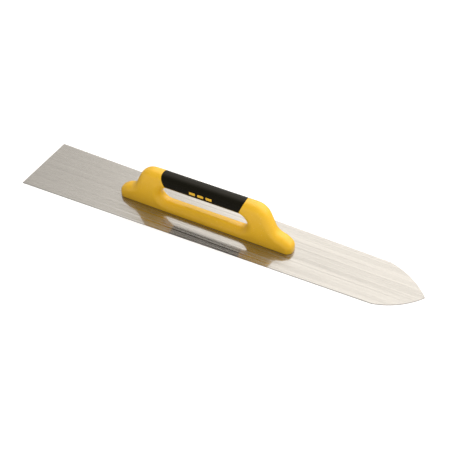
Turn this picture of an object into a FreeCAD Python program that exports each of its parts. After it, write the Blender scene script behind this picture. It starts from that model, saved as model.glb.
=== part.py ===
import FreeCAD, Part
import math
import os
from FreeCAD import Vector

# Long pointed smoothing trowel: a thin stainless blade with a square heel and a pointed toe,
# and a closed-loop plastic handle with a soft grip. Millimetres.
# X runs along the blade, + towards the toe. Z = 0 is the flat working face, + is the handle's side.
# X = 0 is half-way along the blade and Y = 0 is its centre line.

# Blade
BLADE_LENGTH = 680.0
BLADE_THICKNESS = 0.8
HEEL_WIDTH = 118.6
TOE_START_X = 274.0        # where the straight sides end and the pointed toe begins
TOE_START_WIDTH = 90.6
TOE_ARC_RISE = 7.0         # how far each toe edge bulges out past its chord
HEEL_CORNER_RADIUS = 0.8

# Handle: side outline, measured from the middle of the handle
HANDLE_X = -21.5           # the middle of the handle, so that the tool balances in the hand
HANDLE_WIDTH = 26.0
FOOT_HALF = 155.0          # half of the foot's length
NOSE_HALF = 154.5
NOSE_Z = 15.0              # where the end wall of the nose turns into its rounded top
NOSE_TOP_HALF = 141.0
NOSE_TOP_Z = 24.5
VALLEY_HALF = 126.5        # the hollow between a nose and its leg
VALLEY_Z = 28.5
SHOULDER_HALF = 105.5
TOP_Z = 73.0
OUTER_ROUND = 11.0         # rounding along the outer edges
NOSE_END_RADIUS = 13.0
NOSE_TOP_RADIUS = 18.0
VALLEY_RADIUS = 20.0
SHOULDER_RADIUS = 28.0
FOOT_CHAMFER = 0.6         # along the lower edge, just above the blade

# Finger opening
BAR_TOP_Z = 17.2           # top of the bar that runs along the blade
GRIP_BOTTOM_Z = 46.5
OPENING_FOOT_HALF = 90.5
OPENING_TOP_HALF = 68.0
OPENING_CORNER_RADIUS = 13.0
OPENING_ROUND = 12.0
PAD_COUNT = 5              # low blank pads in a row on top of the bar
PAD_PITCH = 16.0
PAD_LENGTH = 13.0
PAD_WIDTH = 5.0
PAD_RISE = 0.35
PAD_EDGE_ROUND = 0.28
PAD_ROW_X = 5.0            # middle of the row, from the middle of the handle

# Soft grip and the core under it
GRIP_TOP_HALF = 72.4       # the sleeve is longer on top than below: its ends are cut at a slant
GRIP_BOTTOM_HALF = 62.5
SLEEVE_THICKNESS = 3.0
SLEEVE_END_ROUND = 0.5     # where the sleeve meets the hard plastic
SHOULDER_EDGE_ROUND = 0.6
CORE_ROUND = 7.5
LOCK_RING_COUNT = 5        # grooves round the core that lock the moulded sleeve
LOCK_RING_WIDTH = 4.0
LOCK_RING_DEPTH = 1.2
LOCK_RING_PITCH = 24.0

# Mounting rail in the underside of the foot
RAIL_LENGTH = 288.0
RAIL_WIDTH = 18.0
RAIL_THICKNESS = 3.0

# Rail screws (M5, countersunk) and the brass inserts they turn into
SCREW_OFFSETS = (-120.0, -60.0, 0.0, 60.0, 120.0)
SCREW_RADIUS = 2.5
SCREW_HEAD_RADIUS = 4.6
SCREW_HEAD_DEPTH = 2.1
SCREW_LENGTH = 12.0
SCREW_SOCKET_RADIUS = 1.5
SCREW_SOCKET_DEPTH = 1.6
INSERT_RADIUS = 3.5
INSERT_LENGTH = 8.0
INSERT_GROOVE_DEPTH = 0.5
INSERT_GROOVE_WIDTH = 1.6
SCREW_TIP_ROOM = 1.2       # empty depth past the screw's tip

# Rivets that hold the blade to the rail, finished flush on the working face
RIVET_OFFSETS = (-136.0, -104.0, -76.0, -30.0, 30.0, 76.0, 104.0, 136.0)
RIVET_RADIUS = 2.0
RIVET_FACE_RADIUS = 2.6
RIVET_HEAD_RADIUS = 3.2
RIVET_HEAD_DEPTH = 1.2

# Pockets moulded into the legs from below, which keep the walls of the plastic even
POCKET_FOOT_NEAR = 84.0
POCKET_FOOT_FAR = 113.0
POCKET_TOP_NEAR = 86.0
POCKET_TOP_FAR = 105.0
POCKET_TOP_Z = 56.0
POCKET_WIDTH = 15.0
POCKET_ROUND = 4.0

RAIL_TOP_Z = BLADE_THICKNESS + RAIL_THICKNESS
GRIP_SLOPE = (GRIP_TOP_HALF - GRIP_BOTTOM_HALF) / (TOP_Z - GRIP_BOTTOM_Z)   # of the slanted cuts
GRIP_ZONE_MARGIN = 5.0     # how far the space between the slanted cuts reaches past the handle
TINY = 1e-6                # lengths below this count as zero
CUT_TOLERANCE = 1e-4       # an edge this close to a slanted cut lies on it
CORE_CLEARANCE = 0.1       # an edge this close to the core belongs to the core


def corner_arc(before, corner, after, radius):
    """The tangent arc that rounds one corner, as (start, arc edge, end)."""
    to_before = (before - corner).normalize()
    to_after = (after - corner).normalize()
    half_angle = to_before.getAngle(to_after) / 2
    reach = radius / math.tan(half_angle)
    start = corner + to_before * reach
    end = corner + to_after * reach
    middle_way = (to_before + to_after).normalize()
    middle = corner + middle_way * (radius / math.sin(half_angle) - radius)
    return start, Part.Arc(start, middle, end).toShape(), end


def rounded_outline(corners):
    """A closed wire in the XZ plane through (x, z, radius) corners. Radius 0 keeps the corner sharp."""
    points = [Vector(x, 0, z) for x, z, radius in corners]
    starts = []
    arcs = []
    ends = []
    for index, (x, z, radius) in enumerate(corners):
        here = points[index]
        start, arc, end = here, None, here
        if radius > 0:
            start, arc, end = corner_arc(points[index - 1], here, points[(index + 1) % len(points)], radius)
        starts.append(start)
        arcs.append(arc)
        ends.append(end)
    edges = []
    for index in range(len(points)):
        if arcs[index] is not None:
            edges.append(arcs[index])
        following = (index + 1) % len(points)
        edges.append(Part.makeLine(ends[index], starts[following]))
    return Part.Wire(edges)


def bar_from_outline(wire, width):
    """The outline's face made into a solid, centred on Y = 0."""
    face = Part.Face(wire)
    face.translate(Vector(0, -width / 2, 0))
    return face.extrude(Vector(0, width, 0))


def side_edges(solid, width, lowest_z):
    """The edges that lie on the two side faces, except those at or below lowest_z."""
    chosen = []
    for edge in solid.Edges:
        box = edge.BoundBox
        on_side = abs(abs(box.YMin) - width / 2) < TINY and box.YLength < TINY
        if on_side and box.ZMax > lowest_z + TINY:
            chosen.append(edge)
    return chosen


def cylinder(x, z_low, z_high, radius):
    return Part.makeCylinder(radius, z_high - z_low, Vector(x, 0, z_low))


def cone(x, z_low, z_high, radius_low, radius_high):
    return Part.makeCone(radius_low, radius_high, z_high - z_low, Vector(x, 0, z_low))


def fuse_all(solids):
    return solids[0].multiFuse(solids[1:]).removeSplitter()


def round_ended_strip(length, width, z_low, z_high):
    """A flat strip with half-round ends, centred on the handle."""
    straight = length - width
    corner = Vector(HANDLE_X - straight / 2, -width / 2, z_low)
    middle = Part.makeBox(straight, width, z_high - z_low, corner)
    ends = [cylinder(HANDLE_X + side * straight / 2, z_low, z_high, width / 2) for side in (-1, 1)]
    return fuse_all([middle] + ends)


def make_rivet(x):
    face_cone = cone(x, 0, BLADE_THICKNESS, RIVET_FACE_RADIUS, RIVET_RADIUS)
    shank = cylinder(x, BLADE_THICKNESS, RAIL_TOP_Z - RIVET_HEAD_DEPTH, RIVET_RADIUS)
    head_cone = cone(x, RAIL_TOP_Z - RIVET_HEAD_DEPTH, RAIL_TOP_Z, RIVET_RADIUS, RIVET_HEAD_RADIUS)
    return fuse_all([face_cone, shank, head_cone])


def make_screw_body(x):
    """A rail screw without its socket: the space it fills in the rail and the insert."""
    head = cone(x, BLADE_THICKNESS, BLADE_THICKNESS + SCREW_HEAD_DEPTH, SCREW_HEAD_RADIUS, SCREW_RADIUS)
    shank = cylinder(x, BLADE_THICKNESS + SCREW_HEAD_DEPTH, BLADE_THICKNESS + SCREW_LENGTH, SCREW_RADIUS)
    return fuse_all([head, shank])


def make_screw(x):
    socket_top = BLADE_THICKNESS + SCREW_SOCKET_DEPTH
    socket = Part.Face(Part.makePolygon([
        Vector(x + SCREW_SOCKET_RADIUS * math.cos(math.radians(60 * side)),
               SCREW_SOCKET_RADIUS * math.sin(math.radians(60 * side)),
               BLADE_THICKNESS) for side in range(7)]))
    return make_screw_body(x).cut(socket.extrude(Vector(0, 0, socket_top - BLADE_THICKNESS)))


def make_insert_body(x):
    """A brass insert without its bore: a plug with one anchoring groove round it."""
    z_low = RAIL_TOP_Z
    z_high = RAIL_TOP_Z + INSERT_LENGTH
    groove_low = (z_low + z_high - INSERT_GROOVE_WIDTH) / 2
    groove_high = groove_low + INSERT_GROOVE_WIDTH
    ring = cylinder(x, groove_low, groove_high, INSERT_RADIUS + 1).cut(
        cylinder(x, groove_low, groove_high, INSERT_RADIUS - INSERT_GROOVE_DEPTH))
    return cylinder(x, z_low, z_high, INSERT_RADIUS).cut(ring)


def make_insert(x):
    bore = cylinder(x, RAIL_TOP_Z, RAIL_TOP_Z + INSERT_LENGTH, SCREW_RADIUS)
    return make_insert_body(x).cut(bore)


def make_rail():
    rail = round_ended_strip(RAIL_LENGTH, RAIL_WIDTH, BLADE_THICKNESS, RAIL_TOP_Z)
    holes = [make_screw_body(HANDLE_X + offset) for offset in SCREW_OFFSETS]
    holes += [make_rivet(HANDLE_X + offset) for offset in RIVET_OFFSETS]
    return rail.cut(Part.makeCompound(holes))


def make_blade():
    tip_x = BLADE_LENGTH / 2
    heel_x = -BLADE_LENGTH / 2
    near_start = Vector(TOE_START_X, -TOE_START_WIDTH / 2, 0)
    far_start = Vector(TOE_START_X, TOE_START_WIDTH / 2, 0)
    tip = Vector(tip_x, 0, 0)
    near_heel = Vector(heel_x, -HEEL_WIDTH / 2, 0)
    far_heel = Vector(heel_x, HEEL_WIDTH / 2, 0)

    def toe_arc(start):
        chord = tip - start
        outward = Vector(abs(chord.y), math.copysign(chord.x, start.y), 0).normalize()
        return Part.Arc(start, start + chord * 0.5 + outward * TOE_ARC_RISE, tip).toShape()

    outline = Part.Wire([
        Part.makeLine(near_heel, near_start),
        toe_arc(near_start),
        toe_arc(far_start),
        Part.makeLine(far_start, far_heel),
        Part.makeLine(far_heel, near_heel)])
    sheet = Part.Face(outline).extrude(Vector(0, 0, BLADE_THICKNESS))
    heel_corners = [edge for edge in sheet.Edges
                    if edge.BoundBox.XMax < heel_x + TINY and edge.BoundBox.YLength < TINY]
    sheet = sheet.makeFillet(HEEL_CORNER_RADIUS, heel_corners)
    rivets = Part.makeCompound([make_rivet(HANDLE_X + offset) for offset in RIVET_OFFSETS])
    return sheet.cut(rivets)


def make_pad(index):
    """One raised pad on the bar, with its upper edges rounded. It reaches down into the bar."""
    x = PAD_ROW_X + (index - (PAD_COUNT - 1) / 2) * PAD_PITCH
    depth = PAD_WIDTH / 2
    pad = Part.makeBox(PAD_LENGTH, PAD_WIDTH, depth + PAD_RISE,
                       Vector(x - PAD_LENGTH / 2, -PAD_WIDTH / 2, BAR_TOP_Z - depth))
    upper_edges = [edge for edge in pad.Edges if edge.BoundBox.ZMin > BAR_TOP_Z]
    return pad.makeFillet(PAD_EDGE_ROUND, upper_edges)


def make_handle_loop():
    """The whole handle with its finger opening and rounded edges, sleeve included."""
    left_side = [
        (-SHOULDER_HALF, TOP_Z, SHOULDER_RADIUS),
        (-VALLEY_HALF, VALLEY_Z, VALLEY_RADIUS),
        (-NOSE_TOP_HALF, NOSE_TOP_Z, NOSE_TOP_RADIUS),
        (-NOSE_HALF, NOSE_Z, NOSE_END_RADIUS),
        (-FOOT_HALF, BLADE_THICKNESS, 0)]
    right_side = [(-x, z, radius) for x, z, radius in reversed(left_side)]
    loop = bar_from_outline(rounded_outline(left_side + right_side), HANDLE_WIDTH)
    loop = loop.makeFillet(OUTER_ROUND, side_edges(loop, HANDLE_WIDTH, BLADE_THICKNESS))
    opening = bar_from_outline(rounded_outline([
        (-OPENING_FOOT_HALF, BAR_TOP_Z, OPENING_CORNER_RADIUS),
        (OPENING_FOOT_HALF, BAR_TOP_Z, OPENING_CORNER_RADIUS),
        (OPENING_TOP_HALF, GRIP_BOTTOM_Z, OPENING_CORNER_RADIUS),
        (-OPENING_TOP_HALF, GRIP_BOTTOM_Z, OPENING_CORNER_RADIUS)]), HANDLE_WIDTH)
    before = loop.cut(opening)
    opening_edges = []
    for edge in side_edges(before, HANDLE_WIDTH, BLADE_THICKNESS):
        box = edge.BoundBox
        inside_x = max(abs(box.XMin), abs(box.XMax)) < OPENING_FOOT_HALF
        if inside_x and BAR_TOP_Z - TINY < box.ZMin and box.ZMax < GRIP_BOTTOM_Z + TINY:
            opening_edges.append(edge)
    loop = before.makeFillet(OPENING_ROUND, opening_edges)
    foot_edges = [edge for edge in loop.Edges if edge.BoundBox.ZMax < BLADE_THICKNESS + TINY]
    loop = loop.makeChamfer(FOOT_CHAMFER, foot_edges)
    loop = fuse_all([loop] + [make_pad(index) for index in range(PAD_COUNT)])
    loop.translate(Vector(HANDLE_X, 0, 0))
    return loop


def make_grip_zone():
    """The wedge-ended block of space between the two slanted cuts at the ends of the sleeve."""
    low_z = GRIP_BOTTOM_Z - GRIP_ZONE_MARGIN
    high_z = TOP_Z + GRIP_ZONE_MARGIN
    low_half = GRIP_BOTTOM_HALF - GRIP_SLOPE * GRIP_ZONE_MARGIN
    high_half = GRIP_TOP_HALF + GRIP_SLOPE * GRIP_ZONE_MARGIN
    zone = bar_from_outline(rounded_outline([
        (-low_half, low_z, 0),
        (low_half, low_z, 0),
        (high_half, high_z, 0),
        (-high_half, high_z, 0)]), HANDLE_WIDTH + 2 * GRIP_ZONE_MARGIN)
    zone.translate(Vector(HANDLE_X, 0, 0))
    return zone


def make_grip_core():
    """The hard core that the sleeve is moulded round, with locking grooves."""
    length = 2 * GRIP_TOP_HALF
    width = HANDLE_WIDTH - 2 * SLEEVE_THICKNESS
    height = TOP_Z - GRIP_BOTTOM_Z - 2 * SLEEVE_THICKNESS
    low_z = GRIP_BOTTOM_Z + SLEEVE_THICKNESS

    def rounded_bar(inset, bar_length, x):
        bar = Part.makeBox(bar_length, width - 2 * inset, height - 2 * inset,
                           Vector(x, -width / 2 + inset, low_z + inset))
        long_edges = [edge for edge in bar.Edges if edge.BoundBox.XLength > bar_length - TINY]
        return bar.makeFillet(CORE_ROUND - inset, long_edges)

    core = rounded_bar(0, length, HANDLE_X - length / 2)
    first = HANDLE_X - LOCK_RING_PITCH * (LOCK_RING_COUNT - 1) / 2
    for index in range(LOCK_RING_COUNT):
        x = first + index * LOCK_RING_PITCH - LOCK_RING_WIDTH / 2
        full = rounded_bar(0, LOCK_RING_WIDTH, x)
        core = core.cut(full.cut(rounded_bar(LOCK_RING_DEPTH, LOCK_RING_WIDTH, x)))
    return core


def make_leg_pocket(side):
    pocket = bar_from_outline(rounded_outline([
        (side * POCKET_FOOT_NEAR, RAIL_TOP_Z, 0),
        (side * POCKET_FOOT_FAR, RAIL_TOP_Z, 0),
        (side * POCKET_TOP_FAR, POCKET_TOP_Z, POCKET_ROUND),
        (side * POCKET_TOP_NEAR, POCKET_TOP_Z, POCKET_ROUND)]), POCKET_WIDTH)
    pocket.translate(Vector(HANDLE_X, 0, 0))
    return pocket


def cut_distance(point):
    """How far a point is outside the nearer slanted cut, along X."""
    half = GRIP_BOTTOM_HALF + GRIP_SLOPE * (point.z - GRIP_BOTTOM_Z)
    return abs(point.x - HANDLE_X) - half


def outer_cut_edges(solid):
    """The edges round the handle's outside where the slanted cuts meet its surface."""
    core_half_width = HANDLE_WIDTH / 2 - SLEEVE_THICKNESS
    core_half_height = (TOP_Z - GRIP_BOTTOM_Z) / 2 - SLEEVE_THICKNESS
    core_z = (GRIP_BOTTOM_Z + TOP_Z) / 2
    chosen = []
    for edge in solid.Edges:
        first, last = edge.ParameterRange
        points = [edge.valueAt(first + share * (last - first)) for share in (0.0, 0.5, 1.0)]
        on_cut = all(abs(cut_distance(point)) < CUT_TOLERANCE for point in points)
        middle = points[1]
        beside_core = abs(middle.y) < core_half_width + CORE_CLEARANCE
        level_with_core = abs(middle.z - core_z) < core_half_height + CORE_CLEARANCE
        if on_cut and not (beside_core and level_with_core):
            chosen.append(edge)
    return chosen


def make_handle_and_sleeve():
    loop = make_handle_loop()
    zone = make_grip_zone()
    core = make_grip_core().common(zone)
    sleeve = loop.common(zone).cut(core)
    sleeve = sleeve.makeFillet(SLEEVE_END_ROUND, outer_cut_edges(sleeve))
    ends = loop.cut(zone)
    ends = ends.makeFillet(SHOULDER_EDGE_ROUND, outer_cut_edges(ends))
    body = fuse_all([ends, core])
    foot_spaces = [round_ended_strip(RAIL_LENGTH, RAIL_WIDTH, BLADE_THICKNESS, RAIL_TOP_Z)]
    foot_spaces += [make_leg_pocket(side) for side in (-1, 1)]
    tip_room_z = BLADE_THICKNESS + SCREW_LENGTH + SCREW_TIP_ROOM
    for offset in SCREW_OFFSETS:
        x = HANDLE_X + offset
        foot_spaces.append(make_insert_body(x))
        foot_spaces.append(cylinder(x, RAIL_TOP_Z, tip_room_z, SCREW_RADIUS))
    body = body.cut(fuse_all(foot_spaces))
    return body, sleeve


def main():
    handle_body, grip_sleeve = make_handle_and_sleeve()
    nodes = {
        "blade": make_blade(),
        "handle_body": handle_body,
        "grip_sleeve": grip_sleeve,
        "mounting_rail": make_rail(),
        "blade_rivets": Part.makeCompound([make_rivet(HANDLE_X + offset) for offset in RIVET_OFFSETS]),
        "rail_screws": Part.makeCompound([make_screw(HANDLE_X + offset) for offset in SCREW_OFFSETS]),
        "threaded_inserts": Part.makeCompound([make_insert(HANDLE_X + offset) for offset in SCREW_OFFSETS])}
    os.makedirs("parts", exist_ok=True)
    for name, shape in nodes.items():
        shape.exportStep("parts/" + name + ".step")
        box = shape.BoundBox
        print(name, "solids", len(shape.Solids), "valid", shape.isValid(), "volume", round(shape.Volume, 1),
              "x", round(box.XMin, 2), round(box.XMax, 2), "z", round(box.ZMin, 2), round(box.ZMax, 2))


main()
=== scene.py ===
import math

import bpy
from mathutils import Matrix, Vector
from mathutils.bvhtree import BVHTree


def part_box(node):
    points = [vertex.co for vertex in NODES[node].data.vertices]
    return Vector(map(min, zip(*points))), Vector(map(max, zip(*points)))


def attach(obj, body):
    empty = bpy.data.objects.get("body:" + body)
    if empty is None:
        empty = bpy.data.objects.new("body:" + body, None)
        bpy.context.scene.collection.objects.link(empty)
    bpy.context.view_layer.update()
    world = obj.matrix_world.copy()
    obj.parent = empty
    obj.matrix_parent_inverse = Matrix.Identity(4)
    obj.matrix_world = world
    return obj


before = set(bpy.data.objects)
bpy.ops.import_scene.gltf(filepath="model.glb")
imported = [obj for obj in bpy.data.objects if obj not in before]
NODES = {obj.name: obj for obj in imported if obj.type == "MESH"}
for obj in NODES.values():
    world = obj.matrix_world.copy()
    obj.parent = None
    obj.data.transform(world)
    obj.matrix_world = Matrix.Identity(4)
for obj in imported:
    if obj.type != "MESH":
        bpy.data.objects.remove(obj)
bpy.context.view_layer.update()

# The camera stands on the near side, a little towards the toe, and looks down at the middle of the blade.
CAMERA_AZIMUTH = 26.97
CAMERA_ELEVATION = 44.09
CAMERA_DISTANCE = 1.1816
CAMERA_TARGET = Vector((0.0126, 0.0043, 0.0))
CAMERA_LENS = 59.2
CAMERA_SENSOR = 36.0

# The room's light, by direction: x and y are those of a unit vector that points at the wall
ROOM_COLOUR = (1.0, 0.97, 0.93, 1)
ROOM_STRENGTH = 0.35
WALL_STRENGTH = 2.83
WALL_SIDE = [(-0.90, 0.03), (-0.55, 0.40), (-0.45, 0.55), (-0.36, 0.92), (-0.28, 1.0)]   # (x, share)
WALL_BACK = [(-0.25, 0.0), (0.3, 0.62), (0.6, 0.745), (0.85, 1.0)]   # (y, share)
WALL_FOOT = (0.05, 0.5)    # z where the wall starts and where it has its full strength
HORIZON_STRENGTH = 0.8     # a pale band where the floor ends, so that low views have a light background
HORIZON_BAND = [(-0.06, 0.0), (-0.02, 1.0), (0.03, 1.0), (0.14, 0.0)]   # (z, share)

# Fill lights: name, place, watts, colour. Each is a square that faces the middle of the blade.
FILL_SIDE = 0.9
FILL_LIGHTS = [
    ("toe_side", (1.07, -0.44, 1.38), 7.4, (1.0, 1.0, 1.0)),
    ("back_high", (0.44, 1.07, 1.38), 2.8, (1.0, 1.0, 1.0)),
    ("front_high", (0.44, -1.07, 1.38), 3.9, (1.0, 0.97, 0.92)),
    ("front_low", (0.1, -1.71, 0.56), 2.0, (1.0, 0.85, 0.65))]

FLOOR_HALF = 20.0
FLOOR_DROP = 0.0002        # keeps the floor clear of the blade's working face
FLOOR_COLOUR = (0.95, 0.95, 0.95, 1)
FLOOR_GLOW = 0.12          # evens out the floor, so that it stays pale all over

STEEL_DARK = (0.392, 0.377, 0.354)
STEEL_LIGHT = (0.425, 0.410, 0.385)
# Colour painted on the sheet's side faces: painted shade that stands in for the dark surroundings the edges
# reflect.
STEEL_EDGE_SHADE = (0.10, 0.092, 0.085)
STEEL_SHARP = 0.055        # roughness of the polished part of the grain
STEEL_WIDE = 0.60          # roughness of the dull part, which lays a veil over the reflections
YELLOW_DARK = (0.770, 0.442, 0.018)
YELLOW_LIGHT = (0.820, 0.476, 0.022)
YELLOW_SCUFFED = (0.84, 0.62, 0.13)
RUBBER_DARK = (0.0050, 0.0046, 0.0028)
RUBBER_LIGHT = (0.0085, 0.0078, 0.0050)
TONE_LOW = 0.3             # noise values at which a dark tone ends and a light tone starts
TONE_HIGH = 0.7

# Input and output numbers of a Mix node that mixes colours
MIX_FIRST = 6
MIX_SECOND = 7
MIX_RESULT = 2

# At its origin every octave of a noise crosses zero, which shows as a line.
# This shift moves that point off the tool.
PATTERN_SHIFT = (3.37, 7.61, 5.23)


# ---------------------------------------------------------------- node helpers

def new_material(name):
    material = bpy.data.materials.new(name)
    material.use_nodes = True
    tree = material.node_tree
    tree.nodes.clear()
    output = tree.nodes.new("ShaderNodeOutputMaterial")
    shader = tree.nodes.new("ShaderNodeBsdfPrincipled")
    tree.links.new(shader.outputs["BSDF"], output.inputs["Surface"])
    return material, tree, shader


def add_node(tree, kind, **settings):
    node = tree.nodes.new(kind)
    for name, value in settings.items():
        if name in node.inputs:
            node.inputs[name].default_value = value
        else:
            setattr(node, name, value)
    return node


def place(tree, scale, turn=0.0):
    """Object coordinates in metres, turned about Z by degrees and then scaled along each axis."""
    coords = add_node(tree, "ShaderNodeTexCoord")
    turned = add_node(tree, "ShaderNodeMapping")
    turned.inputs["Rotation"].default_value = (0, 0, math.radians(turn))
    stretched = add_node(tree, "ShaderNodeMapping")
    stretched.inputs["Scale"].default_value = scale
    stretched.inputs["Location"].default_value = PATTERN_SHIFT
    tree.links.new(coords.outputs["Object"], turned.inputs["Vector"])
    tree.links.new(turned.outputs["Vector"], stretched.inputs["Vector"])
    return stretched.outputs["Vector"]


def noise(tree, vector, scale, detail=3.0, roughness=0.5):
    node = add_node(tree, "ShaderNodeTexNoise", Scale=scale, Detail=detail, Roughness=roughness)
    tree.links.new(vector, node.inputs["Vector"])
    return node.outputs["Fac"]


def ramp(tree, factor, stops):
    node = add_node(tree, "ShaderNodeValToRGB")
    elements = node.color_ramp.elements
    while len(elements) < len(stops):
        elements.new(0.5)
    for element, (position, colour) in zip(elements, stops):
        element.position = position
        element.color = (*colour, 1.0)
    tree.links.new(factor, node.inputs["Fac"])
    return node.outputs["Color"]


def two_tones(tree, factor, dark, light):
    return ramp(tree, factor, [(TONE_LOW, dark), (TONE_HIGH, light)])


def remap(tree, factor, low, high, from_low=0.0, from_high=1.0):
    node = add_node(tree, "ShaderNodeMapRange")
    node.inputs["From Min"].default_value = from_low
    node.inputs["From Max"].default_value = from_high
    node.inputs["To Min"].default_value = low
    node.inputs["To Max"].default_value = high
    tree.links.new(factor, node.inputs["Value"])
    return node.outputs["Result"]


def bump(tree, height, strength, distance, before=None):
    node = add_node(tree, "ShaderNodeBump", Strength=strength, Distance=distance)
    tree.links.new(height, node.inputs["Height"])
    if before is not None:
        tree.links.new(before, node.inputs["Normal"])
    return node.outputs["Normal"]


def arithmetic(tree, operation, first, second):
    """A Math node. Each value is a socket or a plain number."""
    node = add_node(tree, "ShaderNodeMath", operation=operation)
    for slot, value in enumerate((first, second)):
        if isinstance(value, (int, float)):
            node.inputs[slot].default_value = value
        else:
            tree.links.new(value, node.inputs[slot])
    return node.outputs["Value"]


def blend_colours(tree, factor, first, second):
    node = add_node(tree, "ShaderNodeMix", data_type="RGBA")
    tree.links.new(factor, node.inputs["Factor"])
    for slot, value in ((MIX_FIRST, first), (MIX_SECOND, second)):
        if isinstance(value, tuple):
            node.inputs[slot].default_value = (*value, 1.0)
        else:
            tree.links.new(value, node.inputs[slot])
    return node.outputs[MIX_RESULT]


def scratches(tree, scale, turn, start, full):
    """Sparse thin lines: 0 on clean surface, 1 in a scratch."""
    return remap(tree, noise(tree, place(tree, scale, turn), 1.0, 2.0), 0.0, 1.0, start, full)


# ---------------------------------------------------------------- materials

def blade_steel():
    """Satin spring steel: grain and streaks along the blade, hairline scratches, and rougher side faces
    coloured dark as painted shade.
    """
    material, tree, shader = new_material("blade_steel")
    shader.inputs["Metallic"].default_value = 1.0
    fine = noise(tree, place(tree, (3.0, 4000.0, 4000.0)), 1.0, 1.0, 0.5)
    streak = noise(tree, place(tree, (1.2, 160.0, 160.0)), 1.0, 4.0, 0.6)
    smudge = noise(tree, place(tree, (9.0, 14.0, 14.0)), 1.0, 3.0, 0.6)
    hair_a = scratches(tree, (5.0, 1100.0, 1.0), 7.0, 0.66, 0.72)
    hair_b = scratches(tree, (6.0, 1300.0, 1.0), -11.0, 0.67, 0.73)
    hairs = arithmetic(tree, "MAXIMUM", hair_a, hair_b)

    coords = add_node(tree, "ShaderNodeTexCoord")
    facing = add_node(tree, "ShaderNodeSeparateXYZ")
    tree.links.new(coords.outputs["Normal"], facing.inputs["Vector"])
    flatness = arithmetic(tree, "ABSOLUTE", facing.outputs["Z"], 0.0)
    edge = remap(tree, flatness, 1.0, 0.0, 0.3, 0.8)

    tone = two_tones(tree, streak, STEEL_DARK, STEEL_LIGHT)
    # The side faces take the dark colour: painted shade in place of the dark reflection an edge shows.
    tone = blend_colours(tree, edge, tone, STEEL_EDGE_SHADE)
    tree.links.new(tone, shader.inputs["Base Color"])
    gloss = remap(tree, fine, STEEL_SHARP, STEEL_WIDE, 0.475, 0.60)
    gloss = arithmetic(tree, "ADD", gloss, remap(tree, smudge, -0.015, 0.02, 0.3, 0.7))
    gloss = arithmetic(tree, "ADD", gloss, arithmetic(tree, "MULTIPLY", hairs, 0.12))
    gloss = arithmetic(tree, "ADD", gloss, arithmetic(tree, "MULTIPLY", edge, 0.3))
    tree.links.new(gloss, shader.inputs["Roughness"])
    grain = bump(tree, fine, 0.5, 0.000004)
    tree.links.new(bump(tree, hairs, 0.5, 0.00001, grain), shader.inputs["Normal"])
    return material


def yellow_plastic():
    """Semi-gloss moulded plastic: faint colour clouds, orange peel, a fine grain and a few scuffs."""
    material, tree, shader = new_material("yellow_plastic")
    cloud = noise(tree, place(tree, (18.0, 18.0, 18.0)), 1.0, 3.0)
    peel = noise(tree, place(tree, (1.0, 1.0, 1.0)), 420.0, 2.0)
    grain = noise(tree, place(tree, (1.0, 1.0, 1.0)), 2600.0, 2.0)
    scuffs = scratches(tree, (25.0, 700.0, 500.0), 24.0, 0.68, 0.74)
    tone = two_tones(tree, cloud, YELLOW_DARK, YELLOW_LIGHT)
    tone = blend_colours(tree, arithmetic(tree, "MULTIPLY", scuffs, 0.22), tone, YELLOW_SCUFFED)
    tree.links.new(tone, shader.inputs["Base Color"])
    gloss = remap(tree, grain, 0.22, 0.30)
    gloss = arithmetic(tree, "ADD", gloss, arithmetic(tree, "MULTIPLY", scuffs, 0.12))
    tree.links.new(gloss, shader.inputs["Roughness"])
    waves = bump(tree, noise(tree, place(tree, (70.0, 70.0, 70.0)), 1.0, 1.0), 0.25, 0.0012)
    skin = bump(tree, peel, 0.10, 0.0002, waves)
    tree.links.new(bump(tree, grain, 0.08, 0.00005, skin), shader.inputs["Normal"])
    return material


def grip_rubber():
    """Soft-touch rubber with a fine moulded grain and faint rubbed patches."""
    material, tree, shader = new_material("grip_rubber")
    grain = noise(tree, place(tree, (1.0, 1.0, 1.0)), 1800.0, 3.0)
    rubbed = noise(tree, place(tree, (30.0, 60.0, 60.0)), 1.0, 3.0)
    tone = two_tones(tree, grain, RUBBER_DARK, RUBBER_LIGHT)
    tree.links.new(tone, shader.inputs["Base Color"])
    patches = remap(tree, rubbed, -0.03, 0.03, 0.3, 0.7)
    gloss = arithmetic(tree, "ADD", remap(tree, grain, 0.21, 0.29), patches)
    tree.links.new(gloss, shader.inputs["Roughness"])
    shader.inputs["Specular IOR Level"].default_value = 0.12
    shader.inputs["Specular Tint"].default_value = (1.0, 0.91, 0.76, 1.0)
    tree.links.new(bump(tree, grain, 0.1, 0.00008), shader.inputs["Normal"])
    return material


def small_metal(name, dark, light, roughness, scale):
    """Metal of a small hidden fitting: colour and roughness vary together along its tool marks."""
    material, tree, shader = new_material(name)
    shader.inputs["Metallic"].default_value = 1.0
    marks = noise(tree, place(tree, scale), 1.0, 4.0)
    tree.links.new(two_tones(tree, marks, dark, light), shader.inputs["Base Color"])
    tree.links.new(remap(tree, marks, *roughness), shader.inputs["Roughness"])
    return material


def dress(node, material):
    mesh = NODES[node].data
    mesh.materials.clear()
    mesh.materials.append(material)


# node: (material name, dark tone, light tone, roughness range, tool marks per metre)
SMALL_METALS = {
    "mounting_rail": ("rail_aluminium", (0.55, 0.55, 0.56), (0.70, 0.70, 0.71), (0.3, 0.5), (40, 400, 400)),
    "blade_rivets": ("rivet_steel", (0.40, 0.39, 0.37), (0.50, 0.49, 0.47), (0.25, 0.4), (100, 2000, 2000)),
    "rail_screws": ("screw_steel", (0.40, 0.40, 0.42), (0.55, 0.55, 0.56), (0.25, 0.4), (600, 600, 600)),
    "threaded_inserts": ("insert_brass", (0.6, 0.42, 0.16), (0.7, 0.5, 0.2), (0.25, 0.4), (600, 600, 600))}

yellow = yellow_plastic()
dress("blade", blade_steel())
dress("handle_body", yellow)
dress("grip_sleeve", grip_rubber())
for node, look in SMALL_METALS.items():
    dress(node, small_metal(*look))


# ---------------------------------------------------------------- plain mark on the grip

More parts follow.
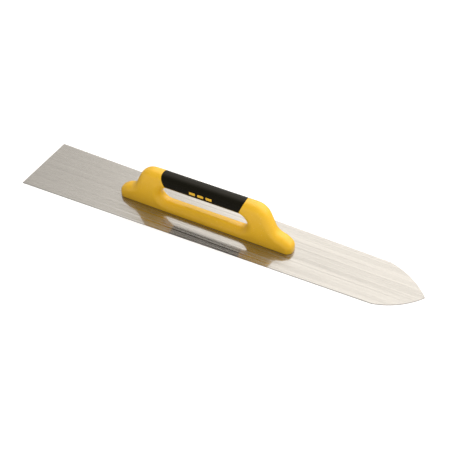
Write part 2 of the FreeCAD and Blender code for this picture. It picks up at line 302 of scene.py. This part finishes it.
MARK_BARS = 3
MARK_BAR_LENGTH = 0.0105
MARK_BAR_PITCH = 0.0145
MARK_LOW_Z = 0.0575
MARK_HIGH_Z = 0.0625
MARK_CORNER = 0.0011
MARK_PROUD = 0.00008     # how far the mark's skin stands out of the rubber
MARK_SUNK = 0.0002       # how far its back lies in the rubber
MARK_STEPS = 5           # points along each rounded corner


def bar_corners():
    """The outline of one bar with rounded corners, as (x, z) offsets from its middle."""
    half_x = MARK_BAR_LENGTH / 2 - MARK_CORNER
    half_z = (MARK_HIGH_Z - MARK_LOW_Z) / 2 - MARK_CORNER
    outline = []
    for quarter, (side_x, side_z) in enumerate(((1, 1), (-1, 1), (-1, -1), (1, -1))):
        for step in range(MARK_STEPS):
            angle = math.radians(90 * (quarter + step / (MARK_STEPS - 1)))
            outline.append((side_x * half_x + MARK_CORNER * math.cos(angle),
                            side_z * half_z + MARK_CORNER * math.sin(angle)))
    return outline


def grip_mark(material):
    """Three plain bars inlaid in the near side of the grip."""
    low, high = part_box("grip_sleeve")
    surface = BVHTree.FromObject(NODES["grip_sleeve"], bpy.context.evaluated_depsgraph_get())
    middle_x = (low[0] + high[0]) / 2
    middle_z = (MARK_LOW_Z + MARK_HIGH_Z) / 2
    outline = bar_corners()
    count = len(outline)
    points = []
    faces = []

    def on_surface(x, z, rise):
        start = Vector((x, low[1] - 0.01, z))
        hit, normal, index, distance = surface.ray_cast(start, Vector((0, 1, 0)))
        return hit + normal * rise

    for bar in range(MARK_BARS):
        bar_x = middle_x + (bar - (MARK_BARS - 1) / 2) * MARK_BAR_PITCH
        first = len(points)
        for rise in (MARK_PROUD, -MARK_SUNK):
            points += [on_surface(bar_x + x, middle_z + z, rise) for x, z in outline]
        faces.append([first + index for index in range(count)])
        faces.append([first + count + index for index in reversed(range(count))])
        for index in range(count):
            here = first + index
            following = first + (index + 1) % count
            faces.append([following, here, here + count, following + count])
    mesh = bpy.data.meshes.new("grip_mark")
    mesh.from_pydata(points, [], faces)
    piece = bpy.data.objects.new("grip_mark", mesh)
    bpy.context.scene.collection.objects.link(piece)
    mesh.materials.append(material)
    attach(piece, "root")


grip_mark(yellow)


# ---------------------------------------------------------------- stage, light and camera

def floor():
    mesh = bpy.data.meshes.new("floor")
    half = FLOOR_HALF
    corners = [(-half, -half, 0), (half, -half, 0), (half, half, 0), (-half, half, 0)]
    mesh.from_pydata(corners, [], [(0, 1, 2, 3)])
    piece = bpy.data.objects.new("floor", mesh)
    piece.location.z = -FLOOR_DROP
    piece.visible_glossy = False
    bpy.context.scene.collection.objects.link(piece)
    material, tree, shader = new_material("pale_floor")
    shader.inputs["Base Color"].default_value = FLOOR_COLOUR
    shader.inputs["Roughness"].default_value = 0.9
    shader.inputs["Specular IOR Level"].default_value = 0.1
    shader.inputs["Emission Color"].default_value = (1, 1, 1, 1)
    shader.inputs["Emission Strength"].default_value = FLOOR_GLOW
    mesh.materials.append(material)


def fill_light(name, place_at, power, colour):
    """A large soft light that fills shadows and makes no highlight of its own."""
    light = bpy.data.lights.new(name, "AREA")
    light.shape = "SQUARE"
    light.size = FILL_SIDE
    light.energy = power
    light.color = colour
    lamp = bpy.data.objects.new(name, light)
    lamp.location = place_at
    lamp.visible_glossy = False
    lamp.visible_camera = False
    lamp.rotation_euler = (-Vector(place_at)).to_track_quat("-Z", "Y").to_euler()
    bpy.context.scene.collection.objects.link(lamp)


def profile(tree, coordinate, points):
    """A share from 0 to 1 that follows (position, share) points along one axis, from -1 to 1."""
    stops = [((position + 1) / 2, (share, share, share)) for position, share in points]
    return ramp(tree, remap(tree, coordinate, 0.0, 1.0, -1.0, 1.0), stops)


def world_light():
    """A soft room: dim in front and on the left, with a wide bright wall behind on the right."""
    world = bpy.data.worlds.new("soft_room")
    bpy.context.scene.world = world
    world.use_nodes = True
    tree = world.node_tree
    background = tree.nodes["Background"]
    background.inputs["Color"].default_value = ROOM_COLOUR
    coords = add_node(tree, "ShaderNodeTexCoord")
    axes = add_node(tree, "ShaderNodeSeparateXYZ")
    tree.links.new(coords.outputs["Generated"], axes.inputs["Vector"])
    side = profile(tree, axes.outputs["X"], WALL_SIDE)
    back = profile(tree, axes.outputs["Y"], WALL_BACK)
    wall = arithmetic(tree, "MULTIPLY", side, back)
    foot = remap(tree, axes.outputs["Z"], 0.0, 1.0, *WALL_FOOT)
    share = arithmetic(tree, "MULTIPLY", wall, foot)
    strength = remap(tree, share, ROOM_STRENGTH, WALL_STRENGTH)
    band = profile(tree, axes.outputs["Z"], HORIZON_BAND)
    horizon = arithmetic(tree, "MULTIPLY", band, HORIZON_STRENGTH)
    tree.links.new(arithmetic(tree, "MAXIMUM", strength, horizon), background.inputs["Strength"])


def camera():
    azimuth = math.radians(CAMERA_AZIMUTH)
    elevation = math.radians(CAMERA_ELEVATION)
    back = Vector((math.sin(azimuth) * math.cos(elevation),
                   -math.cos(azimuth) * math.cos(elevation),
                   math.sin(elevation)))
    lens = bpy.data.cameras.new("camera")
    lens.lens = CAMERA_LENS
    lens.sensor_width = CAMERA_SENSOR
    eye = bpy.data.objects.new("camera", lens)
    eye.location = CAMERA_TARGET + back * CAMERA_DISTANCE
    eye.rotation_mode = "QUATERNION"
    eye.rotation_quaternion = (-back).to_track_quat("-Z", "Y")
    bpy.context.scene.collection.objects.link(eye)
    bpy.context.scene.camera = eye


floor()
world_light()
for fill in FILL_LIGHTS:
    fill_light(*fill)
camera()
bpy.context.scene.view_settings.view_transform = "Standard"
